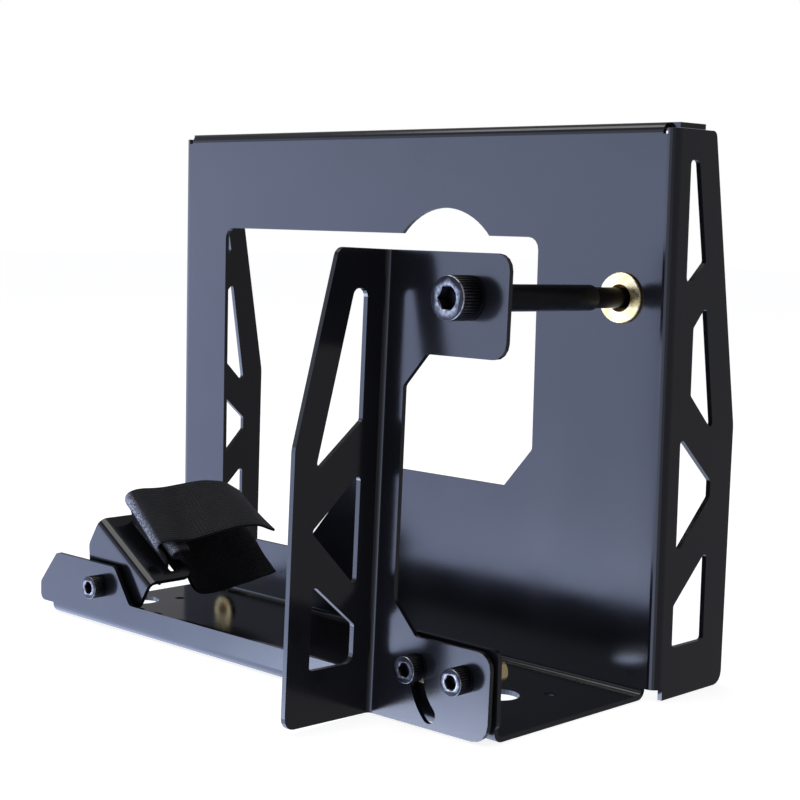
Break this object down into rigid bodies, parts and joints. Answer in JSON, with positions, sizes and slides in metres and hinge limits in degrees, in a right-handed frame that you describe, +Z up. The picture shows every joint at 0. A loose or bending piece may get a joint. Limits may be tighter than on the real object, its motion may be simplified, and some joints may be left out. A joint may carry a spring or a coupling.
{
  "type": "equipment holder",
  "caption": "Folded sheet-steel equipment holder with a screw-drawn clamp arm, a short shelf and a pivoting bracket for a hook-and-loop strap.",
  "frame": {"origin": "middle of the shelf's underside", "axes": "+X to the right along the back panel, +Y to the back, +Z up"},
  "size_m": [0.29, 0.1852, 0.2213],
  "materials": {
    "black_coat": "satin",
    "black_oxide": "satin",
    "yellow_zinc": "satin",
    "webbing": "matte"
  },
  "bodies": {
    "frame": {"main_body": "black_coat", "clamp_arm": "black_coat", "clamp_rivet_nut": "yellow_zinc", "panel_rivet_nut": "yellow_zinc", "arm_lock_rivet_nut": "yellow_zinc", "arm_pivot_rivet_nut": "yellow_zinc", "arm_lock_screw": "black_oxide", "arm_pivot_screw": "black_oxide", "bracket_screw": "black_oxide"},
    "clamp": {"clamp_screw": "black_oxide"},
    "strap_swivel": {"strap_bracket": "black_coat", "bracket_rivet_nut": "yellow_zinc", "strap_upper": "webbing", "strap_lower": "webbing"}
  },
  "joints": [
    {"name": "clamp_travel", "type": "slide", "parent": "frame", "child": "clamp", "axis": [-0.0157, -0.9998, 0.0143], "range_m": [0, 0.01]},
    {"name": "bracket_swivel", "type": "hinge", "parent": "frame", "child": "strap_swivel", "pos_m": [-0.094, -0.0392, 0.018], "axis": [0, 1, 0], "range_deg": [-75, 22]}
  ]
}
